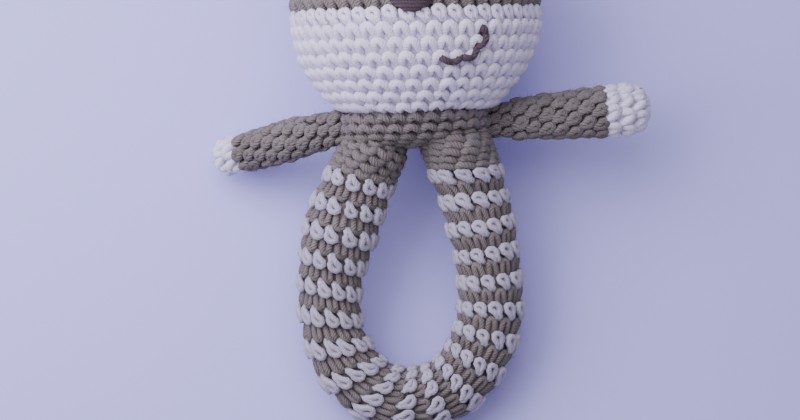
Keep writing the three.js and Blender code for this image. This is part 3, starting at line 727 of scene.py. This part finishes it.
def crochet(name, surface, rounds, stitches, loops, drift=ROUND_DRIFT, least=0.12):
    """Rounds of crochet on a surface: the strand of a loop laid over it once for each stitch, with a little
    unevenness of place, size and height. stitches gives the number of loops in each round and loops their one
    shape or a shape for each round. No loop reaches back past the place called least."""
    rounds = np.asarray(rounds, float)
    stitches = np.asarray(stitches, int)
    start = np.repeat(rounds, stitches)
    width = np.repeat(1 / stitches, stitches)
    shapes = np.repeat(np.broadcast_to(loops, (len(rounds), 4, LOOP_STEPS)), stitches, axis=0)
    across, reach, height, radius = np.moveaxis(shapes, 1, 0)
    order = np.concatenate([np.arange(count) for count in stitches])
    count = len(start)
    turn = (order + drift * start + random.normal(0, ACROSS_UNEVEN, count)) * width
    start = start + random.normal(0, ALONG_UNEVEN, count)
    size = 1 + random.normal(0, SIZE_UNEVEN, count)

    turns = turn[:, None] + across * (width * size)[:, None]
    places = np.maximum(start[:, None] + reach * size[:, None], least)
    ups = normals_of(surface, turns, places)
    bump = height + random.normal(0, HEIGHT_UNEVEN, count)[:, None]
    paths = surface(turns, places) + ups * bump[..., None]
    spacing = np.linalg.norm(surface(turn + width, start + 0.5) - surface(turn, start + 0.5), axis=-1)
    thick = np.clip(spacing / STITCH_WIDTH, *CROWDED_SHARES) ** CROWDED_POWER * size
    shades = random.normal(0, 1, count)
    return yarn_mesh(name, paths, ups, radius * thick[:, None], shades, FIBRES_PER_STITCH)


def stitch_counts(surface, rounds, width=STITCH_WIDTH, least=6):
    """Loops in each round, so that a loop keeps about the same width: the length round the middle of the
    round over the stitch width."""
    turns = np.linspace(0, 1, COUNT_STEPS)
    counts = []
    for place in rounds:
        line = surface(turns, np.full(len(turns), place + 0.5))
        around = np.linalg.norm(np.diff(line, axis=0), axis=1).sum()
        counts.append(max(least, round(around / width)))
    return counts


# Materials


def set_inputs(made, **inputs):
    """Values of a node's inputs, by their names with underscores for spaces."""
    for key, value in inputs.items():
        made.inputs[key.replace("_", " ")].default_value = value


def node(tree, kind, **settings):
    """A shader node with its settings and inputs: names with a capital set an input, others a setting."""
    made = tree.nodes.new(kind)
    for key, value in settings.items():
        if key[0].isupper():
            set_inputs(made, **{key: value})
        else:
            setattr(made, key, value)
    return made


def maths(tree, operation, *values):
    """A Math node's output, from sockets or numbers."""
    made = node(tree, "ShaderNodeMath", operation=operation)
    for slot, value in enumerate(values):
        if isinstance(value, (int, float)):
            made.inputs[slot].default_value = value
        else:
            tree.links.new(value, made.inputs[slot])
    return made.outputs[0]


def mix_colour(tree, factor, first, second):
    """A colour between two, by a factor socket. The node's colours are its inputs 6 and 7 and output 2."""
    made = node(tree, "ShaderNodeMix", data_type="RGBA")
    tree.links.new(factor, made.inputs["Factor"])
    made.inputs[6].default_value = (*first, 1)
    made.inputs[7].default_value = (*second, 1)
    return made.outputs[2]


def noise(tree, vector, **settings):
    """A noise texture's output over a vector socket."""
    made = node(tree, "ShaderNodeTexNoise", **settings)
    tree.links.new(vector, made.inputs["Vector"])
    return made.outputs["Fac"]


def add_bump(tree, shader, height, strength, distance):
    """Bump of a shader from a height socket."""
    bump = node(tree, "ShaderNodeBump", Strength=strength, Distance=distance)
    tree.links.new(height, bump.inputs["Height"])
    tree.links.new(bump.outputs[0], shader.inputs["Normal"])


def new_material(name):
    """An empty node material, its node tree and its Principled shader."""
    material = bpy.data.materials.new(name)
    material.use_nodes = True
    tree = material.node_tree
    return material, tree, tree.nodes["Principled BSDF"]


def scaled(colour, share):
    """A colour made darker or lighter."""
    return tuple(channel * share for channel in colour)


def yarn_material(name, colour, contrast, sheen, glow=0.0):
    """Plied yarn: plies wind round the strand, with painted shade where they meet, fine fibres along them,
    a soft cloud over the piece and a tone that differs a little from stitch to stitch."""
    material, tree, shader = new_material(name)
    place = node(tree, "ShaderNodeUVMap", uv_map="yarn")
    parts = node(tree, "ShaderNodeSeparateXYZ")
    tree.links.new(place.outputs[0], parts.inputs[0])
    turn = maths(tree, "MULTIPLY", parts.outputs[0], 2 * math.pi * YARN_PLIES)
    wind = maths(tree, "MULTIPLY_ADD", parts.outputs[1], 2 * math.pi / PLY_SPACING, turn)
    ply = maths(tree, "MULTIPLY_ADD", maths(tree, "SINE", wind), 0.5, 0.5)
    spread = node(tree, "ShaderNodeMapping", Scale=FIBRE_STRETCH)
    tree.links.new(place.outputs[0], spread.inputs["Vector"])
    fibre = noise(tree, spread.outputs[0], Scale=1.6, Detail=4.0, Roughness=0.65)
    spot = node(tree, "ShaderNodeTexCoord")
    cloud = noise(tree, spot.outputs["Object"], Scale=210.0, Detail=2.0)

    stitch = node(tree, "ShaderNodeAttribute", attribute_name="shade")
    tone = maths(tree, "MULTIPLY_ADD", stitch.outputs["Fac"], STITCH_TONE, TONE_START)
    # The ply adds painted shade in its grooves; the fibre and the cloud add the yarn's own uneven tone
    for mark, share in ((ply, PLY_GROOVE_SHADE), (fibre, FIBRE_TONE), (cloud, CLOUD_TONE)):
        tone = maths(tree, "MULTIPLY_ADD", mark, share, tone)
    dark = scaled(colour, 1 - contrast)
    light = scaled(colour, 1 + LIGHT_SHARE * contrast)
    tree.links.new(mix_colour(tree, tone, dark, light), shader.inputs["Base Color"])

    height = maths(tree, "MULTIPLY_ADD", fibre, FIBRE_BUMP, ply)
    add_bump(tree, shader, height, strength=0.8, distance=PLY_BUMP * contrast)
    rough = maths(tree, "MULTIPLY_ADD", fibre, FIBRE_ROUGHNESS, YARN_ROUGHNESS)
    tree.links.new(rough, shader.inputs["Roughness"])
    set_inputs(shader, Specular_IOR_Level=0.25, Sheen_Weight=sheen, Sheen_Roughness=0.45)
    set_inputs(shader, Subsurface_Weight=glow, Subsurface_Radius=(1.0, 0.9, 0.9), Subsurface_Scale=0.0012)
    return material


def filling_material(name, colour):
    """Backs of the stitches and stuffing seen down between the loops: fine tangled fibre."""
    material, tree, shader = new_material(name)
    spot = node(tree, "ShaderNodeTexCoord")
    fibre = noise(tree, spot.outputs["Object"], Scale=900.0, Detail=5.0, Distortion=1.2)
    tangle = mix_colour(tree, fibre, *(scaled(colour, share) for share in FILLING_SHARES))
    tree.links.new(tangle, shader.inputs["Base Color"])
    add_bump(tree, shader, fibre, strength=0.6, distance=0.0004)
    set_inputs(shader, Roughness=0.97, Specular_IOR_Level=0.15)
    return material


def plastic_material(name, colour, rough):
    """Moulded plastic: a faint mottle and fine orange peel."""
    material, tree, shader = new_material(name)
    spot = node(tree, "ShaderNodeTexCoord")
    mottle = noise(tree, spot.outputs["Object"], Scale=160.0, Detail=3.0)
    tint = mix_colour(tree, mottle, *(scaled(colour, share) for share in MOTTLE_SHARES))
    tree.links.new(tint, shader.inputs["Base Color"])
    uneven = maths(tree, "MULTIPLY_ADD", mottle, MOTTLE_ROUGHNESS, rough)
    tree.links.new(uneven, shader.inputs["Roughness"])
    add_bump(tree, shader, mottle, strength=0.15, distance=0.0002)
    return material


taupe_yarn = yarn_material("taupe_yarn", TAUPE, contrast=0.45, sheen=0.12)
cream_yarn = yarn_material("cream_yarn", CREAM, contrast=0.16, sheen=0.2, glow=0.4)
# Painted shade: a darker copy of the cream yarn for the ring, standing in for the weaker light there
shaded_ring_colour = scaled(CREAM, RING_SHADE_SHARE)
shaded_ring_yarn = yarn_material("shaded_ring_cream_yarn", shaded_ring_colour, contrast=0.2, sheen=0.2, glow=0.3)
brown_yarn = yarn_material("brown_yarn", BROWN, contrast=0.5, sheen=0.1)
taupe_filling = filling_material("taupe_filling", TAUPE)
cream_filling = filling_material("cream_filling", CREAM)


def finish_piece(obj, material, body, replaced=(), bend=None):
    """Gives a piece its material and the body that it rides on, and hides the solids that it stands for.
    A piece with a bend, two points, rides on no body: its place is baked into its mesh, and the points
    themselves are not used."""
    obj.data.materials.append(material)
    if bend:
        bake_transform(obj)
    else:
        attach(obj, body)
    if replaced:
        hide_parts(*replaced)


# Crocheted pieces


def make_head():
    """Taupe crown and cream muzzle, each a run of rounds over its own stuffed filling."""
    crown = np.arange(CROWN_ROUNDS)
    muzzle = CROWN_ROUNDS + np.arange(MUZZLE_ROUNDS)
    counts = stitch_counts(head_surface, crown)
    cover = crochet("crown_cover", head_surface, crown, counts, arch_loop(CLOSE_RADIUS))
    finish_piece(cover, taupe_yarn, "plush", ["head_crown"])
    loops = [eye_loop(EYE_RADIUS)] + [arch_loop(MUZZLE_RADIUS)] * (MUZZLE_ROUNDS - 1)
    counts = stitch_counts(head_surface, muzzle)
    cover = crochet("muzzle_cover", head_surface, muzzle, counts, loops, drift=MUZZLE_DRIFT)
    finish_piece(cover, cream_yarn, "plush", ["head_muzzle"])
    filling = skin_mesh("crown_filling", head_surface, TIP_PLACE, CROWN_ROUNDS, "crown")
    finish_piece(filling, taupe_filling, "plush", ["crown_stuffing"])
    filling = skin_mesh("muzzle_filling", head_surface, CROWN_ROUNDS, CROWN_ROUNDS + MUZZLE_ROUNDS, "muzzle")
    finish_piece(filling, cream_filling, "plush", ["muzzle_stuffing"])


def make_body():
    """Taupe rounds of the short body, over its filling."""
    rounds = np.arange(BODY_ROUNDS)
    counts = stitch_counts(body_surface, rounds)
    cover = crochet("body_yoke", body_surface, rounds, counts, ridge_loop(), least=-1)
    finish_piece(cover, taupe_yarn, "plush", ["body_cover"])
    filling = skin_mesh("body_filling", body_surface, -NECK_HIDDEN, BODY_ROUNDS, "body")
    finish_piece(filling, taupe_filling, "plush", ["body_stuffing"])


def is_cream(rounds):
    """Which rounds of the ring are cream: every second one between the plain rounds at the hips."""
    inside = (rounds >= HIP_ROUNDS) & (rounds < RING_ROUNDS - HIP_ROUNDS)
    return inside & ((rounds - HIP_ROUNDS) % 2 == 0)


def make_ring():
    """Striped ring: taupe and cream rounds by turns, over one filling."""
    rounds = np.arange(RING_ROUNDS)
    cream = rounds[is_cream(rounds)]
    taupe = rounds[~is_cream(rounds)]
    counts = np.full(len(rounds), RING_STITCHES)
    at_hip = np.minimum(taupe, RING_ROUNDS - 1 - taupe) < HIP_ROUNDS
    kinds = np.stack([bar_loop(), ridge_loop()])
    cover = crochet("ring_taupe_rounds", ring_surface, taupe, counts[taupe], kinds[at_hip.astype(int)])
    finish_piece(cover, taupe_yarn, "plush", ["ring_tube"])
    # The cream rounds take the darker copy of the cream yarn, which is painted shade
    cover = crochet("ring_cream_rounds", ring_surface, cream, counts[cream], eye_loop(EYE_RADIUS, CREAM_LIFT))
    solids = [f"cream_round_{number + 1:02d}" for number in range(len(cream))]
    finish_piece(cover, shaded_ring_yarn, "plush", solids)
    filling = skin_mesh("ring_filling", ring_surface, 0, RING_ROUNDS, "ring")
    finish_piece(filling, taupe_filling, "plush", ["ring_stuffing"])


def make_arm(arm, name):
    """Cream paw and taupe sleeve, worked from the tip of the paw to the seam, each over its filling. The last
    cream stitches are longer, so that they run up between the first taupe ones."""
    surface = arm_surface(arm, name)
    along, outs, _, _ = arm_profile(arm)
    at_change = np.interp(arm["length"] - arm["paw_length"], outs[::-1], along[::-1])
    paw_rounds = round(at_change / along[-1] * arm["rounds"])
    paw = np.arange(paw_rounds)
    sleeve = np.arange(paw_rounds, arm["rounds"])
    body = name + "_arm"

    cuff = arch_loop(MUZZLE_RADIUS, ARM_LEAN, length=CUFF_REACH)
    loops = [arch_loop(MUZZLE_RADIUS, ARM_LEAN)] * (paw_rounds - 1) + [cuff]
    cover = crochet(name + "_paw_cover", surface, paw, stitch_counts(surface, paw), loops)
    finish_piece(cover, cream_yarn, body, [name + "_paw"])

    loop = eye_loop(CLOSE_RADIUS, SLEEVE_LIFT, SLEEVE_EYE_HALF)
    counts = stitch_counts(surface, sleeve, ARM_STITCH)
    cover = crochet(name + "_sleeve_cover", surface, sleeve, counts, loop)
    seam_centre, out_way, _, _ = arm_frame(arm, name)
    bend = to_frame([seam_centre - SEAM_BEND * out_way, seam_centre + SEAM_BEND * out_way]).tolist()
    finish_piece(cover, taupe_yarn, body, [name + "_arm_sleeve"], bend)

    filling = skin_mesh(name + "_paw_filling", surface, TIP_PLACE, paw_rounds, "paw")
    finish_piece(filling, cream_filling, body, ())
    filling = skin_mesh(name + "_arm_filling", surface, paw_rounds, arm["rounds"] * SLEEVE_FILLED, "sleeve")
    finish_piece(filling, taupe_filling, body, [name + "_arm_stuffing"], bend)


def make_ear(side, name):
    """Taupe ear, worked from its tip to the crown, over its filling."""
    surface = ear_surface(side)
    rounds = np.arange(EAR_ROUNDS)
    counts = stitch_counts(surface, rounds)
    cover = crochet(name + "_ear_cover", surface, rounds, counts, arch_loop(CLOSE_RADIUS))
    finish_piece(cover, taupe_yarn, "plush", [name + "_ear"])
    filling = skin_mesh(name + "_ear_filling", surface, TIP_PLACE, EAR_ROUNDS, "ear")
    finish_piece(filling, taupe_filling, "plush", ())


# Embroidered face


def on_face(places, lift):
    """Points on the front of the head straight above places across and along the face, lifted off the yarn,
    and the directions out of the face there."""
    across, along = np.moveaxis(np.asarray(places, float), -1, 0)
    out = np.sqrt(HEAD_RADIUS**2 - across**2 - along**2)
    ways = unit(np.stack([across, along, out], -1))
    return ways * (HEAD_RADIUS + np.asarray(lift))[..., None], ways


def make_nose():
    """Satin-stitched nose: strands laid side by side across a rounded triangle, each arched over the face."""
    steps = np.linspace(-1, 1, NOSE_STEPS)
    rows = np.linspace(-NOSE_END, NOSE_END, NOSE_STRANDS)
    rounding = np.sqrt(1 - rows**2)
    half = NOSE_WIDTH / 2 * rounding**NOSE_FULLNESS * (1 + NOSE_TAPER * rows)
    level = NOSE_RISE + rows * NOSE_HEIGHT / 2
    across = NOSE_SIDE + half[:, None] * steps
    along = level[:, None] + NOSE_BOW * (1 - steps**2) * rows[:, None]
    lift = NOSE_LIFT * rounding[:, None] * (1 - np.abs(steps) ** 3) - NOSE_TUCK * np.abs(steps) ** 5
    paths, ups = on_face(np.stack([across, along], -1), lift)
    radii = np.full(paths.shape[:2], NOSE_STRAND_RADIUS)
    strands = yarn_mesh("nose_satin_stitches", paths, ups, radii, random.normal(0, 1, NOSE_STRANDS))
    finish_piece(strands, brown_yarn, "plush", ["nose"])


def make_smile():
    """Backstitched smile: short strands from hole to hole, arched in the middle and tucked in at the ends."""
    holes = np.array(SMILE_HOLES)
    share = np.linspace(-SMILE_OVERLAP, 1 + SMILE_OVERLAP, SMILE_STEPS)
    places = holes[:-1, None] + (holes[1:] - holes[:-1])[:, None] * share[:, None]
    lift = np.broadcast_to(SMILE_LIFT - SMILE_TUCK * np.abs(2 * share - 1) ** 4, places.shape[:2])
    paths, ups = on_face(places, lift)
    radii = np.full(paths.shape[:2], EMBROIDERY_RADIUS)
    strands = yarn_mesh("smile_backstitches", paths, ups, radii, random.normal(0, 1, len(paths)))
    finish_piece(strands, brown_yarn, "plush", ["smile"])


def make_eye(side, name):
    """Embroidered knot: a strand wound in a rising, narrowing coil, its first end tucked in."""
    angle = np.linspace(0, 2 * np.pi * KNOT_TURNS, KNOT_STEPS)
    share = angle / angle[-1]
    out = KNOT_RADIUS * (1 - share * KNOT_NARROWS)
    middle = NOSE_SIDE + side * KNOT_SPACING / 2
    places = np.stack([middle + out * np.cos(angle), KNOT_LEVEL + out * np.sin(angle)], -1)
    lift = KNOT_LIFT + share - KNOT_TUCK * np.exp(-angle / KNOT_TUCK_TURN)
    paths, ups = on_face(places[None], lift[None])
    radii = np.full(paths.shape[:2], EMBROIDERY_RADIUS)
    knot = yarn_mesh(name + "_eye_knot", paths, ups, radii, np.zeros(1))
    finish_piece(knot, brown_yarn, "plush", [name + "_eye"])


def dress_rattle():
    """Plastic for the rattle ball and its beads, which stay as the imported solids."""
    ball = plastic_material("ball_plastic", BALL_COLOUR, rough=0.35)
    beads = plastic_material("bead_plastic", BEAD_COLOUR, rough=0.4)
    for name, solid in frame["nodes"].items():
        if name.startswith(("rattle_", "bead_")):
            solid.data.materials.clear()
            solid.data.materials.append(ball if name.startswith("rattle_") else beads)


# Floor, light and camera


def make_floor():
    """Plain pale floor: one large square."""
    signs = ((-1, -1), (1, -1), (1, 1), (-1, 1))
    corners = [(across * FLOOR_HALF, along * FLOOR_HALF, 0) for across, along in signs]
    mesh = bpy.data.meshes.new("floor")
    mesh.from_pydata(corners, [], [(0, 1, 2, 3)])
    floor = bpy.data.objects.new("floor", mesh)
    bpy.context.scene.collection.objects.link(floor)
    material, _, shader = new_material("floor")
    set_inputs(shader, Base_Color=(*FLOOR_COLOUR, 1), Roughness=0.95)
    floor.data.materials.append(material)


def place_facing(obj, place, direction):
    """Puts a lamp or camera at a place, looking along a direction."""
    obj.location = place
    obj.rotation_mode = "QUATERNION"
    obj.rotation_quaternion = direction.to_track_quat("-Z", "Y")
    bpy.context.scene.collection.objects.link(obj)


def make_light(name, place, size, power):
    """Soft square lamp, turned to where the camera looks."""
    light = bpy.data.lights.new(name, "AREA")
    light.color = LIGHT_COLOUR
    light.size = size
    light.energy = power
    lamp = bpy.data.objects.new(name, light)
    place_facing(lamp, place, CAMERA_TARGET - Vector(place))


def make_sky():
    """Even soft light from all round."""
    world = bpy.data.worlds.new("studio")
    world.use_nodes = True
    set_inputs(world.node_tree.nodes["Background"], Color=(*LIGHT_COLOUR, 1), Strength=SKY_STRENGTH)
    bpy.context.scene.world = world


def make_camera():
    """Camera high over the feet, looking at the body."""
    elevation = math.radians(CAMERA_ELEVATION)
    back = Vector((0, -math.cos(elevation), math.sin(elevation)))
    camera = bpy.data.cameras.new("camera")
    camera.lens = CAMERA_LENS
    eye = bpy.data.objects.new("camera", camera)
    place_facing(eye, CAMERA_TARGET + back * CAMERA_DISTANCE, -back)
    bpy.context.scene.camera = eye


make_head()
make_body()
make_ring()
make_arm(LEFT_ARM, "left")
make_arm(RIGHT_ARM, "right")
make_ear(-1, "left")
make_ear(1, "right")
make_nose()
make_smile()
make_eye(-1, "left")
make_eye(1, "right")
dress_rattle()
make_floor()
make_light("key_light", **KEY_LIGHT)
make_light("fill_light", **FILL_LIGHT)
make_sky()
make_camera()
